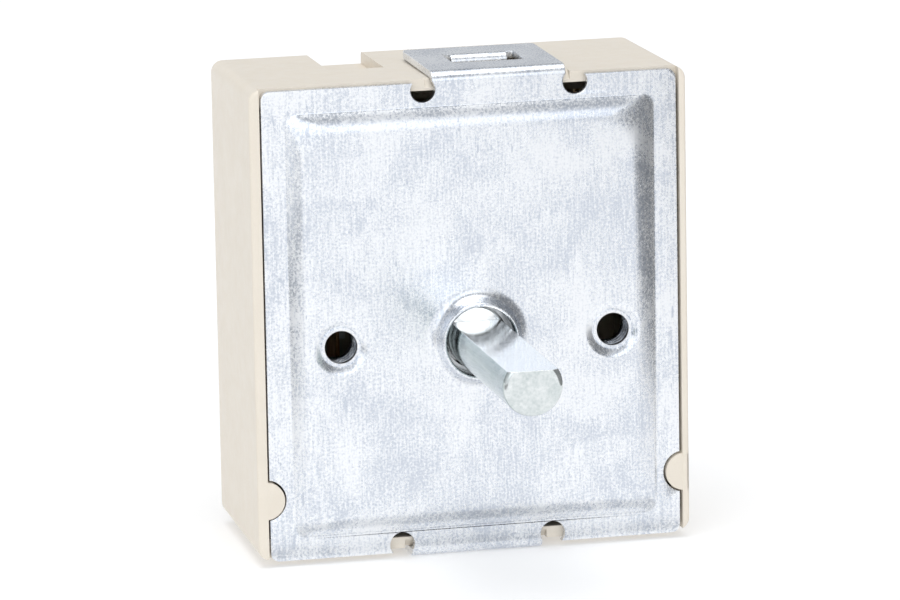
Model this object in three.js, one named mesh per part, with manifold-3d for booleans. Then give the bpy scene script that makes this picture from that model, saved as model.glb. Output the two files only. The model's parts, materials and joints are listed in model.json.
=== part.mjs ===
// Rotary energy regulator for a cooker hotplate.
// Millimetres, +Z up. The shaft points along -Y and its axis is the Y axis; the origin is where that
// axis meets the outer face of the raised front panel, which is the face that the control panel of a
// cooker rests on. Every piece is placed in this one frame.

import * as THREE from "three";
import { mergeVertices } from "three/addons/utils/BufferGeometryUtils.js";
import Module from "manifold-3d";

const wasm = await Module();
wasm.setup();

// ---------------------------------------------------------------- driving dimensions

const SHEET = 0.8;                 // thickness of the front plate's steel
const EMBOSS = 0.9;                // how far the centre panel stands in front of the flange
const GAP = 0.05;                  // between flat faces that rest on each other
const RUN = 0.15;                  // radial running clearance

const plate = { cx: -0.23, cz: 2.2, w: 42.5, h: 47.8 };
const housing = { cx: -0.4, cz: 2.45, w: 44.7, h: 47.8, front: 0.6, back: 21.2, draft: 0.25 };

const SHAFT_R = 3;                 // 6 mm shaft
const SHAFT_FLAT = 1.6;            // height of the flat: 4.6 mm across
const SHAFT_LENGTH = 23;           // in front of the panel
const SHAFT_FLAT_END = 0.6;        // the flat runs back to here

const M4_SPACING = 28;
const M4_BORE_R = 1.65;            // tapping size
const collar = { bore: 3.4, lip: 3.95, flare: 6.4, height: 1.7 };

const flangeBack = EMBOSS + SHEET;
const plateLeft = plate.cx - plate.w / 2;
const plateRight = plate.cx + plate.w / 2;
const plateTop = plate.cz + plate.h / 2;
const plateBottom = plate.cz - plate.h / 2;
const caseTop = housing.cz + housing.h / 2;
const caseBottom = housing.cz - housing.h / 2;

const topTab = { cx: 2.8, w: 13.7, back: 14.3 };
const bottomTab = { cx: -0.15, w: 13.5, back: 14.3 };
const tabWindow = { cx: 2.9, w: 7.4, front: 5.3, back: 10.5 };
const tongue = { w: 5.8, reach: 2.2 };
const reliefNotch = { r: 1.25, offset: 7.8, below: 0.7 };

const lug = { z: -15.35, r: 1.95, inset: 0.4 };
const floorFront = 18.9;           // the inner face of the housing's back wall
const ledge = 9.8;                 // where the front pocket steps in to the deep pocket

const CAM_HIGH = 8.4;
const CAM_FALL = 2;                // radius lost over the shaft's travel
const CAM_TRAVEL = 300;            // degrees from off to full
const controlCam = { front: 3.8, back: 8.6 };
const neutralCam = { front: 10, back: 12.4 };
const pilotCam = { front: 12.8, back: 15 };
const stopCam = { front: 15.6, back: 17 };
const LOBE_R = 8.2;
const HUB_R = 5.2;

const armFront = 4.2;              // the lever, bimetal and snap blade share this depth
const armBack = 8.4;
const armMid = (armFront + armBack) / 2;
const bladeFront = 10.2;           // the neutral and pilot blades share this depth
const bladeBack = 14.8;
const bladeMid = (bladeFront + bladeBack) / 2;

const TAB_W = 6.3;                 // blade terminals, 6.3 x 0.8 mm
const TAB_T = 0.8;
const TAB_OUT = 8;                 // how far they stand out of the back

// ---------------------------------------------------------------- solids

// A closed three.js geometry as a manifold solid with its faces pointing out.
function solid(geometry) {
  geometry.deleteAttribute("uv");
  geometry.deleteAttribute("normal");
  const merged = mergeVertices(geometry, 1e-4);
  const corners = merged.index.array;
  const points = merged.attributes.position.array;
  const kept = [];
  let volume = 0;
  const a = new THREE.Vector3();
  const b = new THREE.Vector3();
  const c = new THREE.Vector3();
  for (let i = 0; i < corners.length; i += 3) {
    const [p, q, r] = [corners[i], corners[i + 1], corners[i + 2]];
    if (p === q || q === r || r === p) continue;
    kept.push(p, q, r);
    a.fromArray(points, 3 * p);
    b.fromArray(points, 3 * q);
    c.fromArray(points, 3 * r);
    volume += a.dot(b.cross(c));
  }
  if (volume < 0) kept.reverse();
  return new wasm.Manifold(
    new wasm.Mesh({ numProp: 3, vertProperties: points, triVerts: new Uint32Array(kept) }),
  );
}

const union = (...pieces) => pieces.reduce((sum, piece) => sum.add(piece));

function box(x0, x1, y0, y1, z0, z1) {
  const geometry = new THREE.BoxGeometry(x1 - x0, y1 - y0, z1 - z0);
  return solid(geometry.translate((x0 + x1) / 2, (y0 + y1) / 2, (z0 + z1) / 2));
}

// Round bars along each axis; the first two numbers are the other two coordinates, in axis order.
function rodY(x, z, r, y0, y1, sides = 32) {
  const geometry = new THREE.CylinderGeometry(r, r, y1 - y0, sides);
  return solid(geometry.translate(x, (y0 + y1) / 2, z));
}

function rodZ(x, y, r, z0, z1, sides = 14) {
  const geometry = new THREE.CylinderGeometry(r, r, z1 - z0, sides);
  return solid(geometry.rotateX(Math.PI / 2).translate(x, y, (z0 + z1) / 2));
}

function rodX(y, z, r, x0, x1, sides = 14) {
  const geometry = new THREE.CylinderGeometry(r, r, x1 - x0, sides);
  return solid(geometry.rotateZ(Math.PI / 2).translate((x0 + x1) / 2, y, z));
}

// An outline in x and z, given depth along y.
function prismY(shape, y0, y1, curveSegments = 8) {
  const geometry = new THREE.ExtrudeGeometry(shape, {
    depth: y1 - y0,
    bevelEnabled: false,
    curveSegments,
  });
  return solid(geometry.rotateX(Math.PI / 2).translate(0, y1, 0));
}

// An outline in y and z, given length along x.
function prismX(shape, x0, x1, curveSegments = 6) {
  const geometry = new THREE.ExtrudeGeometry(shape, {
    depth: x1 - x0,
    bevelEnabled: false,
    curveSegments,
  });
  const turn = new THREE.Matrix4().makeBasis(
    new THREE.Vector3(0, 1, 0),
    new THREE.Vector3(0, 0, 1),
    new THREE.Vector3(1, 0, 0),
  );
  return solid(geometry.applyMatrix4(turn).translate(x0, 0, 0));
}

// A profile of [radius, y] turned about a line parallel to the Y axis.
function turned(profile, x = 0, z = 0, sides = 48) {
  const points = profile.map(([r, y]) => new THREE.Vector2(r, y));
  return solid(new THREE.LatheGeometry(points, sides).translate(x, 0, z));
}

// A polygon in two coordinates.
function outline(points) {
  return new THREE.Shape(points.map(([u, v]) => new THREE.Vector2(u, v)));
}

// The corners of a rounded rectangle about (cx, cz), as a ring of points at depth y.
function ring(cx, cz, w, h, r, y, steps = 4) {
  const points = [];
  for (let corner = 0; corner < 4; corner += 1) {
    const sx = corner === 0 || corner === 3 ? 1 : -1;
    const sz = corner < 2 ? 1 : -1;
    for (let i = 0; i <= steps; i += 1) {
      const angle = ((corner + i / steps) * Math.PI) / 2;
      points.push([
        cx + sx * (w / 2 - r) + r * Math.cos(angle),
        y,
        cz + sz * (h / 2 - r) + r * Math.sin(angle),
      ]);
    }
  }
  return points;
}

// A closed skin through rings that have the same number of points.
function loft(rings) {
  const count = rings[0].length;
  const positions = rings.flat(2);
  const index = [];
  for (let k = 0; k + 1 < rings.length; k += 1) {
    for (let i = 0; i < count; i += 1) {
      const j = (i + 1) % count;
      const near = k * count;
      const far = near + count;
      index.push(near + i, near + j, far + j);
      index.push(near + i, far + j, far + i);
    }
  }
  const last = (rings.length - 1) * count;
  for (let i = 1; i + 1 < count; i += 1) {
    index.push(0, i + 1, i);
    index.push(last, last + i, last + i + 1);
  }
  const geometry = new THREE.BufferGeometry();
  geometry.setAttribute("position", new THREE.Float32BufferAttribute(positions, 3));
  geometry.setIndex(index);
  return solid(geometry);
}

// A strip of sheet along a path in x and z, the path on its middle line.
function strip(path, thickness, y0, y1) {
  const points = path.map(([x, z]) => new THREE.Vector2(x, z));
  const sides = [[], []];
  points.forEach((point, i) => {
    const before = points[Math.max(i - 1, 0)];
    const after = points[Math.min(i + 1, points.length - 1)];
    const into = point.clone().sub(before).normalize();
    const out = after.clone().sub(point).normalize();
    const along = into.add(out).normalize();
    const across = new THREE.Vector2(-along.y, along.x);
    const leg = out.lengthSq() > 0 ? out : along;
    const stretch = 1 / Math.max(Math.abs(along.dot(leg)), 0.5);
    const half = (thickness / 2) * stretch;
    sides[0].push(point.clone().addScaledVector(across, half));
    sides[1].unshift(point.clone().addScaledVector(across, -half));
  });
  return prismY(new THREE.Shape([...sides[0], ...sides[1]]), y0, y1);
}

// ---------------------------------------------------------------- materials

function finish(color, roughness, metalness) {
  return new THREE.MeshStandardMaterial({ color, roughness, metalness });
}

const materials = {
  thermoset: finish(0xe8e0d2, 0.55, 0),
  zinc: finish(0xd5dce2, 0.32, 1),
  polished: finish(0xc4ccd0, 0.2, 1),
  darkThermoset: finish(0x3a2f2a, 0.6, 0),
  steel: finish(0xa9adb0, 0.35, 1),
  brass: finish(0xc9a85c, 0.35, 1),
  bronze: finish(0xb8794a, 0.35, 1),
  silver: finish(0xe4e4e2, 0.25, 1),
  bimetal: finish(0x9c9a92, 0.4, 1),
  mica: finish(0xb89f76, 0.5, 0),
  heaterWire: finish(0x77706a, 0.45, 1),
  ceramic: finish(0xf3f0e8, 0.4, 0),
};

const regulator = new THREE.Group();

function add(name, piece, material) {
  const mesh = piece.getMesh();
  const geometry = new THREE.BufferGeometry();
  geometry.setAttribute("position", new THREE.Float32BufferAttribute(mesh.vertProperties, 3));
  geometry.setIndex(new THREE.Uint32BufferAttribute(mesh.triVerts, 1));
  const node = new THREE.Mesh(geometry, material);
  node.name = name;
  regulator.add(node);
}

// ---------------------------------------------------------------- front plate

// The pressed front: a flat flange, and a panel raised to y = 0 through a rolled step.
function frontSkin() {
  const margin = 2.42;
  const roll = 2.4;
  const steps = 4;
  const depth = 6;
  const creaseW = plate.w - 2 * margin;
  const creaseH = plate.h - 2 * margin;
  const rings = [ring(plate.cx, plate.cz, creaseW, creaseH, 1.3, depth)];
  for (let i = 0; i <= steps; i += 1) {
    const run = i / steps;
    const shrink = 2 * roll * run;
    const y = EMBOSS * (1 - run) ** 2;
    rings.push(ring(plate.cx, plate.cz, creaseW - shrink, creaseH - shrink, 1.3 + 2 * run, y));
  }
  const raised = loft(rings.reverse());
  const flange = loft([
    ring(plate.cx, plate.cz, plate.w, plate.h, 0.9, EMBOSS),
    ring(plate.cx, plate.cz, plate.w, plate.h, 0.9, depth),
  ]);
  const dimple = [[0, -1], [3.6, -1], [3.6, 0], [2.9, 0.06], [2.3, 0.25], [1.9, 0.6], [0, 0.6]];
  let skin = union(flange, raised);
  for (const side of [-1, 1]) {
    skin = skin.subtract(turned(dimple, (side * M4_SPACING) / 2, 0, 32));
  }
  return skin;
}

// A tab folded back over the housing from the plate's edge; side is 1 at the top, -1 at the bottom.
function foldedTab(tab, side) {
  const inner = side > 0 ? caseTop + GAP : -(caseBottom - GAP);
  const outer = inner + SHEET;
  const bend = 1.1;
  const start = inner - 3;
  const shape = new THREE.Shape();
  shape.moveTo(EMBOSS, start);
  shape.lineTo(EMBOSS, outer - bend);
  shape.absarc(EMBOSS + bend, outer - bend, bend, Math.PI, Math.PI / 2, true);
  shape.lineTo(tab.back, outer);
  shape.lineTo(tab.back, inner);
  shape.lineTo(EMBOSS + bend, inner);
  shape.absarc(EMBOSS + bend, outer - bend, bend - SHEET, Math.PI / 2, Math.PI, false);
  shape.lineTo(flangeBack, start);
  const folded = prismX(shape, tab.cx - tab.w / 2, tab.cx + tab.w / 2);
  return side > 0 ? folded : folded.mirror([0, 0, 1]);
}

function shaftCollar() {
  return turned([
    [0, SHEET],
    [collar.flare, SHEET],
    [collar.flare, 0],
    [5.3, -0.12],
    [4.6, -0.45],
    [4.1, -0.95],
    [collar.lip, -1.35],
    [3.8, -1.6],
    [3.55, -collar.height],
    [0, -collar.height],
  ]);
}

function frontPlate() {
  const skin = frontSkin();
  let body = skin.subtract(skin.translate([0, SHEET, 0]));
  body = union(body, shaftCollar(), foldedTab(topTab, 1), foldedTab(bottomTab, -1));
  body = body.subtract(rodY(0, 0, collar.bore, -3, 3, 48));
  for (const side of [-1, 1]) {
    const x = (side * M4_SPACING) / 2;
    body = body.add(rodY(x, 0, 2.5, 1.2, 3.4, 24));
    body = body.subtract(rodY(x, 0, M4_BORE_R, -1, 4, 24));
    const wall = side < 0 ? plateLeft - lug.inset : plateRight + lug.inset;
    body = body.subtract(rodY(wall, lug.z, lug.r + 0.15, 0, 3));
    for (const [tab, z] of [[topTab, plateTop - reliefNotch.below], [bottomTab, plateBottom + 0.85]]) {
      body = body.subtract(rodY(tab.cx + side * reliefNotch.offset, z, reliefNotch.r, 0.5, 2.6, 24));
    }
  }
  const { cx, w, front, back } = tabWindow;
  const top = caseTop + GAP + SHEET;
  body = body.subtract(box(cx - w / 2, cx + w / 2, front, back, caseTop - 1, top + 1));
  const reach = caseTop - tongue.reach;
  const hook = outline([
    [back - SHEET, reach],
    [back - SHEET, top - 0.35],
    [back - SHEET + 0.35, top],
    [back + 0.6, top],
    [back + 0.6, caseTop + GAP],
    [back, caseTop + GAP],
    [back, reach],
  ]);
  return body.add(prismX(hook, cx - tongue.w / 2, cx + tongue.w / 2));
}

// ---------------------------------------------------------------- housing

function terminalSlot(x, z) {
  const side = TAB_T / 2 + RUN;
  const half = TAB_W / 2 + RUN;
  return box(x - side, x + side, floorFront - 1, housing.back + 1, z - half, z + half);
}

function housingShell() {
  const { cx, cz, w, h, front, back, draft } = housing;
  const rings = [
    [0.35, front],
    [0, front + 0.35],
    [draft, back - 0.5],
    [draft + 0.5, back],
  ].map(([inset, y]) => ring(cx, cz, w - 2 * inset, h - 2 * inset, 1.2, y));
  const outside = loft(rings);
  let body = outside;

  // room for the plate between the side lips
  body = body.subtract(box(plateLeft - 0.12, plateRight + 0.12, -1, flangeBack + GAP, -30, 35));

  // relief in the front edges, behind the bends of the two tabs
  for (const [tab, side, edge] of [[topTab, 1, caseTop], [bottomTab, -1, caseBottom]]) {
    const bevel = outline([
      [0, edge + side],
      [0, edge - side * 2.5],
      [flangeBack + 1, edge],
      [flangeBack + 1, edge + side],
    ]);
    const half = tab.w / 2 + 0.6;
    body = body.subtract(prismX(bevel, tab.cx - half, tab.cx + half));
  }
  body = body.subtract(box(-20.9, 20.3, 0, ledge, -20.3, 25.2));
  body = body.subtract(box(-19.6, 19, ledge - 1, floorFront, -19, 23));

  // lugs that fill the plate's side notches
  for (const x of [plateLeft - lug.inset, plateRight + lug.inset]) {
    body = body.add(rodY(x, lug.z, lug.r, front, ledge).intersect(outside));
  }

  // slot for the front plate's tongue, and the recess in the rear top edge
  const beyond = 30;
  body = body.subtract(box(-0.9, 6.7, 8.8, 10.9, caseTop - tongue.reach - 0.4, beyond));
  body = body.subtract(box(-12.5, -6.8, 10.5, beyond, caseTop - 1.5, beyond));

  // rear bearing for the shaft, and the post that stops the cam drum
  body = body.add(rodY(0, 0, 4.2, 17.6, floorFront + 0.5));
  body = body.subtract(rodY(0, 0, 2 + RUN, 17, 20.5));
  body = body.add(box(-2.4, 2.4, 15.4, floorFront + 0.5, -11, -8.8));

  for (const { x, z } of Object.values(terminals)) {
    body = body.subtract(terminalSlot(x, z));
  }
  return body;
}

// ---------------------------------------------------------------- terminals

// x and z of each blade's middle at the back, and how far forward its post reaches
const terminals = {
  terminal_line_in: { x: -15.5, z: 19.35, front: armFront - 0.2 },
  terminal_line_out: { x: 15.5, z: 19.35, front: armFront - 0.2 },
  terminal_neutral_in: { x: 15.5, z: -15.55, front: bladeFront },
  terminal_neutral_out: { x: 9.6, z: 11.35, front: bladeFront },
  terminal_pilot: { x: -9.6, z: -11.05, front: bladeFront },
};

function terminalBlade({ x, z, front }) {
  const half = TAB_W / 2;
  const tip = housing.back + TAB_OUT;
  const shape = outline([
    [front, z - half],
    [tip - 1.2, z - half],
    [tip, z - half + 1],
    [tip, z + half - 1],
    [tip - 1.2, z + half],
    [front, z + half],
  ]);
  const blade = prismX(shape, x - TAB_T / 2, x + TAB_T / 2);
  return blade.subtract(rodX(housing.back + 4.8, z, 0.8, x - 1, x + 1, 16));
}

const footFront = armFront - 0.2;
const footBack = armBack + 0.2;
const lineIn = terminals.terminal_line_in;
const lineOut = terminals.terminal_line_out;
const neutralIn = terminals.terminal_neutral_in;
const neutralOut = terminals.terminal_neutral_out;
const pilotOut = terminals.terminal_pilot;

const SNAP_Z = 19.2;               // underside of the snap blade
const SNAP_T = 0.3;
const snapRoot = -12.8;
const contactX = 10;
const footUnder = 17;              // underside of the line-out foot

function addTerminals() {
  const snapFoot = box(lineIn.x, -11.2, footFront, footBack, SNAP_Z + 0.4, SNAP_Z + 1.2);
  const loadFoot = box(8.4, lineOut.x, footFront, footBack, footUnder, footUnder + TAB_T);
  const holes = {
    terminal_line_in: union(
      rodZ(snapRoot, armMid, 0.8, SNAP_Z - 1, SNAP_Z + 3),
      rodX(bladeMid, lineIn.z, 0.8, lineIn.x - 1, lineIn.x + 1),
    ),
    terminal_line_out: rodZ(contactX, armMid, 0.8, footUnder - 1, footUnder + 2),
    terminal_neutral_in: rodX(bladeMid, neutralIn.z, 0.8, neutralIn.x - 1, neutralIn.x + 1),
    terminal_neutral_out: rodX(bladeMid, 11, 0.8, neutralOut.x - 1, neutralOut.x + 1),
    terminal_pilot: rodX(bladeMid, -11, 0.8, pilotOut.x - 1, pilotOut.x + 1),
  };
  const feet = { terminal_line_in: snapFoot, terminal_line_out: loadFoot };
  for (const [name, place] of Object.entries(terminals)) {
    let blade = terminalBlade(place);
    if (feet[name]) blade = blade.add(feet[name]);
    add(name, blade.subtract(holes[name]), materials.brass);
  }
}

// ---------------------------------------------------------------- shaft and cams

const clipGroove = { front: 1.55, back: 2.15, r: 2.4 };
const seatBack = 17.1;

function shaftBody() {
  const tip = -SHAFT_LENGTH;
  const chamfer = 0.45;
  const body = turned([
    [0, tip],
    [SHAFT_R - chamfer, tip],
    [SHAFT_R, tip + chamfer],
    [SHAFT_R, clipGroove.front],
    [clipGroove.r, clipGroove.front],
    [clipGroove.r, clipGroove.back],
    [SHAFT_R, clipGroove.back],
    [SHAFT_R, seatBack],
    [2, seatBack],
    [2, 20.2],
    [0, 20.2],
  ]);
  const flat = box(-4, 4, tip - 1, SHAFT_FLAT_END, SHAFT_FLAT, 4);
  const key = box(-4, 4, 3.3, seatBack + 0.1, 2.2, 4);
  return body.subtract(flat).subtract(key);
}

function thrustWasher() {
  const disc = rodY(0, 0, 5, SHEET + GAP, clipGroove.front - GAP);
  return disc.subtract(rodY(0, 0, SHAFT_R + RUN, 0, 3));
}

function retainingClip() {
  const disc = rodY(0, 0, 4.4, clipGroove.front + GAP, clipGroove.back - GAP);
  const mouth = box(-1.9, 1.9, 1, 3, -6, 0);
  return disc.subtract(rodY(0, 0, clipGroove.r + RUN, 1, 3)).subtract(mouth);
}

// The control cam: its radius falls evenly over the shaft's travel and climbs back over the rest.
function spiralCam() {
  const points = [];
  const step = 6;
  for (let turn = 0; turn < 360; turn += step) {
    const fallen = turn <= CAM_TRAVEL
      ? turn / CAM_TRAVEL
      : (360 - turn) / (360 - CAM_TRAVEL);
    const radius = CAM_HIGH - CAM_FALL * fallen;
    const angle = THREE.MathUtils.degToRad(90 + turn);
    points.push([radius * Math.cos(angle), radius * Math.sin(angle)]);
  }
  return prismY(outline(points), controlCam.front, controlCam.back);
}

// A round disc with one lobe, which holds a contact blade open while it faces the blade.
function lobedCam(side, front, back) {
  const lobeR = 1.2;
  const centre = LOBE_R - lobeR;
  const arm = side > 0
    ? box(0, centre, front, back, -lobeR, lobeR)
    : box(-centre, 0, front, back, -lobeR, lobeR);
  return union(rodY(0, 0, 6, front, back), arm, rodY(side * centre, 0, lobeR, front, back, 20));
}

function stopLug() {
  const rest = THREE.MathUtils.degToRad(240);
  const half = 1.8;
  const reach = 10.2;
  const along = new THREE.Vector2(Math.cos(rest), Math.sin(rest));
  const across = new THREE.Vector2(-along.y, along.x);
  const corner = (r, s) => [along.x * r + across.x * s, along.y * r + across.y * s];
  const shape = outline([corner(3, -half), corner(reach, -half), corner(reach, half), corner(3, half)]);
  return prismY(shape, stopCam.front, stopCam.back);
}

function camDrum() {
  const drum = union(
    rodY(0, 0, HUB_R, 3.4, stopCam.back),
    spiralCam(),
    lobedCam(1, neutralCam.front, neutralCam.back),
    lobedCam(-1, pilotCam.front, pilotCam.back),
    stopLug(),
  );
  const bore = rodY(0, 0, SHAFT_R + RUN, 3, 18).subtract(box(-4, 4, 2, 19, 2.2 + RUN, 4));
  return drum.subtract(bore);
}

// ---------------------------------------------------------------- control lever and bimetal

const leverPivot = { x: -13, z: 10.2, r: 1 };
const screwX = 6.5;
const bimetalZ = 14.45;            // underside of the bimetal strip
const BIMETAL_T = 0.7;
const bimetalRoot = -16.9;
const pusherX = 3;

function controlLever() {
  const nose = { r: 0.8, z: CAM_HIGH + 0.3 + 0.8 };
  const bar = outline([
    [-14.6, 9],
    [-11.4, 9],
    [-9, 9.6],
    [9, 9.6],
    [9, 11.4],
    [-14.6, 11.4],
  ]);
  const body = union(
    prismY(bar, armFront, armBack),
    rodY(leverPivot.x, leverPivot.z, 2, armFront, armBack, 24),
    rodY(0, nose.z, nose.r, armFront, armBack, 20),
  );
  return body
    .subtract(rodY(leverPivot.x, leverPivot.z, leverPivot.r + RUN, 3, 10, 24))
    .subtract(rodZ(screwX, armMid, 1.2 + RUN, 8, 13));
}

function calibrationScrew() {
  const head = rodZ(screwX, armMid, 1.9, 8.1, 9.4);
  const slot = box(screwX - 3, screwX + 3, armMid - 0.25, armMid + 0.25, 7.5, 8.6);
  return head.add(rodZ(screwX, armMid, 1.2, 9.3, bimetalZ - 0.2)).subtract(slot);
}

function leverPivotPin() {
  const { x, z, r } = leverPivot;
  return rodY(x, z, r, 3.6, 9.95, 24).add(rodY(x, z, 1.6, 3.4, armFront - 0.1, 24));
}

function bimetalBracket() {
  const wall = box(-18.9, -18.1, 3.9, floorFront - 0.1, 8, bimetalZ - GAP);
  const seat = box(-18.9, -15.2, 4, 8.6, bimetalZ - GAP - 0.8, bimetalZ - GAP);
  const web = box(-18.9, -10.6, 9, 9.7, 8, 13);
  return union(wall, seat, web)
    .subtract(rodY(leverPivot.x, leverPivot.z, leverPivot.r + 0.1, 8, 11, 24))
    .subtract(rodZ(bimetalRoot, armMid, 0.8, 13, 15));
}

function bimetalStrip() {
  const bar = box(-18.5, 8, armFront, armBack, bimetalZ, bimetalZ + BIMETAL_T);
  return bar
    .subtract(rodZ(bimetalRoot, armMid, 0.8, 14, 16))
    .subtract(rodZ(pusherX, armMid, 0.65, 14, 16));
}

// A headed pin through a stack of sheet: shank along z from low to high, with a head past each end.
function rivetZ(x, y, low, high, headR = 1.25) {
  const head = 0.4;
  return union(
    rodZ(x, y, 0.7, low - 0.1, high + 0.1),
    rodZ(x, y, headR, low - head, low),
    rodZ(x, y, headR, high, high + head),
  );
}

function rivetX(y, z, low, high, headR = 1.25) {
  const head = 0.4;
  return union(
    rodX(y, z, 0.7, low - 0.1, high + 0.1),
    rodX(y, z, headR, low - head, low),
    rodX(y, z, headR, high, high + head),
  );
}

function heaterSleeve() {
  const outer = box(-11, -1, 3.7, 8.9, 13.7, 15.9);
  return outer.subtract(box(-12, 0, 4, 8.6, 14.2, 15.4));
}

// The wire's turns, joined by a thin web so that they are one piece.
function heaterWinding() {
  const turns = 9;
  const pitch = 1;
  const inside = box(-12, 0, 3.65, 8.95, 13.65, 15.95);
  let coil = box(-10.4, -1.6, 3.6, 9, 13.6, 16);
  for (let i = 0; i < turns; i += 1) {
    const x = -10.4 + 0.4 + i * pitch;
    coil = coil.add(box(x - 0.2, x + 0.2, 3.4, 9.2, 13.4, 16.2));
  }
  return coil.subtract(inside);
}

function pusherPin() {
  const top = SNAP_Z - 0.1;
  const foot = bimetalZ + BIMETAL_T + GAP;
  return rodZ(pusherX, armMid, 1.1, foot, top).add(rodZ(pusherX, armMid, 0.55, 14.4, foot + 0.1));
}

// ---------------------------------------------------------------- switches

function snapBlade() {
  const leaf = box(-14.6, 11.6, armFront, armBack, SNAP_Z, SNAP_Z + SNAP_T);
  const slot = (y) => box(-8, 0.5, y - 0.3, y + 0.3, SNAP_Z - 1, SNAP_Z + 1);
  return leaf
    .subtract(slot(armMid - 0.9))
    .subtract(slot(armMid + 0.9))
    .subtract(rodZ(snapRoot, armMid, 0.8, SNAP_Z - 1, SNAP_Z + 1))
    .subtract(rodZ(contactX, armMid, 0.8, SNAP_Z - 1, SNAP_Z + 1));
}

function snapMovingContact() {
  const top = SNAP_Z + SNAP_T + GAP;
  return union(
    rodZ(contactX, armMid, 1.5, SNAP_Z - 0.55, SNAP_Z - GAP),
    rodZ(contactX, armMid, 0.65, SNAP_Z - 0.1, top + 0.1),
    rodZ(contactX, armMid, 1.1, top, top + 0.35),
  );
}

function snapFixedContact() {
  const top = footUnder + TAB_T;
  return union(
    rodZ(contactX, armMid, 1.6, top + GAP, SNAP_Z - 0.6),
    rodZ(contactX, armMid, 0.65, footUnder - 0.2, top + 0.1),
    rodZ(contactX, armMid, 1.1, footUnder - 0.4, footUnder - GAP),
  );
}

const BLADE_T = 0.35;
const bladeX = 12.2;               // where the blades pass the cam drum
const rootX = 14.8;
const followerGap = 0.4;

// side is 1 for the neutral blade, rooted at the bottom right, and -1 for the pilot blade, which is
// rooted at the top left: each runs past the drum to its contact at the other end.
function contactBlade(side, rootZ, contactZ) {
  const bend = rootZ > 0 ? 1 : -1;
  const path = [
    [side * rootX, rootZ + bend * 2.8],
    [side * rootX, bend * 11.7],
    [side * bladeX, bend * 8.2],
    [side * bladeX, contactZ - bend * 2],
  ];
  return strip(path, BLADE_T, bladeFront, bladeBack)
    .subtract(rodX(bladeMid, rootZ, 0.8, side * rootX - 1, side * rootX + 1))
    .subtract(rodX(bladeMid, contactZ, 0.8, side * bladeX - 1, side * bladeX + 1))
    .subtract(rodX(bladeMid, 0, 0.8, side * bladeX - 1, side * bladeX + 1));
}

// The moulded nose that a lobe pushes, held by its own stud through the blade.
function follower(side, front, back) {
  const tip = LOBE_R + followerGap;
  const face = bladeX - BLADE_T / 2 - GAP;
  const round = 1;
  const nose = union(
    rodY(side * (tip + round), 0, round, front, back, 20),
    side > 0
      ? box(tip + round, face, front, back, -round, round)
      : box(-face, -tip - round, front, back, -round, round),
  );
  const [inner, outer] = [face - 0.3, bladeX + BLADE_T / 2 + GAP];
  const pad = side > 0
    ? box(face - 0.6, face, bladeFront + 0.3, bladeBack - 0.3, -1.4, 1.4)
    : box(-face, 0.6 - face, bladeFront + 0.3, bladeBack - 0.3, -1.4, 1.4);
  const stud = side > 0
    ? rodX(bladeMid, 0, 0.65, inner, outer + 0.1)
    : rodX(bladeMid, 0, 0.65, -outer - 0.1, -inner);
  const button = side > 0
    ? rodX(bladeMid, 0, 1.2, outer, outer + 0.4)
    : rodX(bladeMid, 0, 1.2, -outer - 0.4, -outer);
  return union(nose, pad, stud, button);
}

// A contact rivet through a sheet whose two faces are at near and far, its thick head past near.
function contactRivet(z, near, far, head) {
  const way = Math.sign(far - near);
  const span = (a, b) => [Math.min(a, b), Math.max(a, b)];
  return union(
    rodX(bladeMid, z, 1.5, ...span(near - way * head, near - way * GAP)),
    rodX(bladeMid, z, 0.65, ...span(near - way * 0.1, far + way * 0.1)),
    rodX(bladeMid, z, 1.1, ...span(far + way * GAP, far + way * 0.4)),
  );
}

function addSwitch(name, side, root, fixed, contactZ, cam) {
  const near = side * (bladeX - BLADE_T / 2);
  const far = side * (bladeX + BLADE_T / 2);
  add(`${name}_blade`, contactBlade(side, root.z, contactZ), materials.bronze);
  const nose = follower(side, cam.front + 0.2, cam.back - 0.2);
  add(`${name}_follower`, nose, materials.ceramic);
  add(`${name}_moving_contact`, contactRivet(contactZ, near, far, 0.62), materials.silver);
  const post = side * TAB_T / 2;
  const outside = fixed.x + post;
  const inside = fixed.x - post;
  add(`${name}_fixed_contact`, contactRivet(contactZ, outside, inside, 0.8), materials.silver);
  const faces = [root.x + post + side * GAP, side * (rootX - BLADE_T / 2 - GAP)];
  const rivet = rivetX(bladeMid, root.z, Math.min(...faces), Math.max(...faces));
  add(`${name}_rivet`, rivet, materials.steel);
}

// ---------------------------------------------------------------- heater leads

function lead(points) {
  const path = new THREE.CatmullRomCurve3(points.map((p) => new THREE.Vector3(...p)));
  const section = new THREE.Shape();
  section.absarc(0, 0, 0.3, 0, 2 * Math.PI);
  const geometry = new THREE.ExtrudeGeometry(section, {
    steps: 16,
    curveSegments: 4,
    bevelEnabled: false,
    extrudePath: path,
  });
  return solid(geometry);
}

// ---------------------------------------------------------------- the assembly

add("housing", housingShell(), materials.thermoset);
add("front_plate", frontPlate(), materials.zinc);
add("shaft", shaftBody(), materials.polished);
add("thrust_washer", thrustWasher(), materials.steel);
add("retaining_clip", retainingClip(), materials.steel);
add("cam_drum", camDrum(), materials.darkThermoset);
addTerminals();
add("bimetal_bracket", bimetalBracket(), materials.steel);
add("lever_pivot_pin", leverPivotPin(), materials.steel);
add("control_lever", controlLever(), materials.steel);
add("calibration_screw", calibrationScrew(), materials.brass);
add("bimetal_strip", bimetalStrip(), materials.bimetal);
const stack = [bimetalZ - 0.8 - 2 * GAP, bimetalZ + BIMETAL_T + GAP];
add("bimetal_rivet", rivetZ(bimetalRoot, armMid, ...stack), materials.steel);
add("heater_sleeve", heaterSleeve(), materials.mica);
add("heater_winding", heaterWinding(), materials.heaterWire);
add("pusher", pusherPin(), materials.ceramic);
add("snap_blade", snapBlade(), materials.bronze);
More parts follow.
